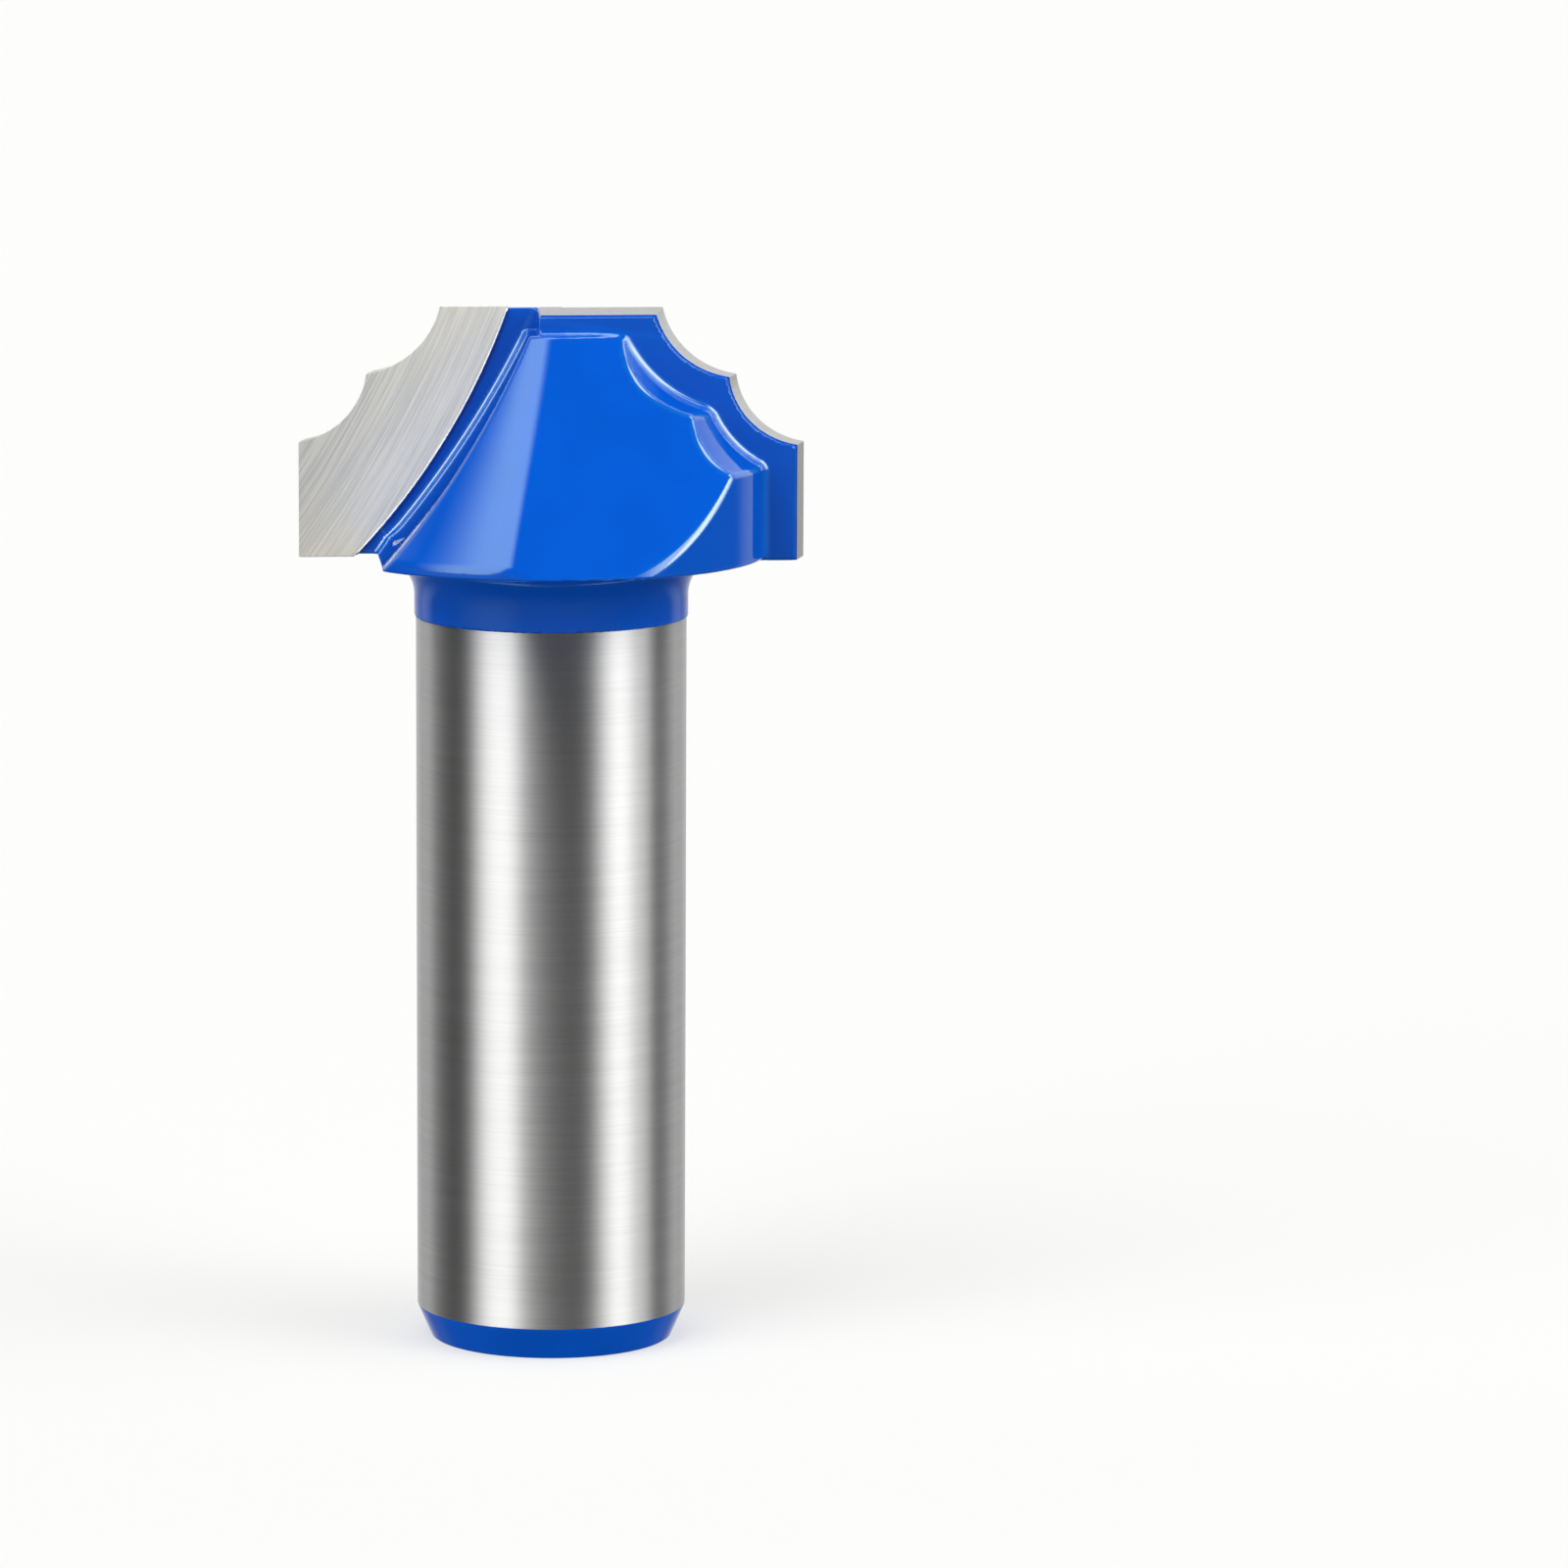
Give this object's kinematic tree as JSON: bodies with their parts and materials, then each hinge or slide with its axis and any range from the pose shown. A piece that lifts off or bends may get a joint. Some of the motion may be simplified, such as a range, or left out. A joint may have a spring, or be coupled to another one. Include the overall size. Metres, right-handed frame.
{
  "type": "router bit",
  "caption": "Double cove router bit with a painted steel body, a ground cylindrical shank and brazed carbide cutting tips.",
  "frame": {"origin": "centre of the shank's end face, on the axis of rotation", "axes": "+Z along the axis from the shank end to the cutting end, +X across the bit in the plane of the cutting faces towards the long tip"},
  "size_m": [0.0236, 0.02, 0.0489],
  "materials": {
    "blue_paint": "gloss paint, with the shank ground bright",
    "carbide": "ground"
  },
  "bodies": {
    "root": {"body": "blue_paint", "long_tip": "carbide", "short_tip": "carbide"}
  },
  "joints": []
}
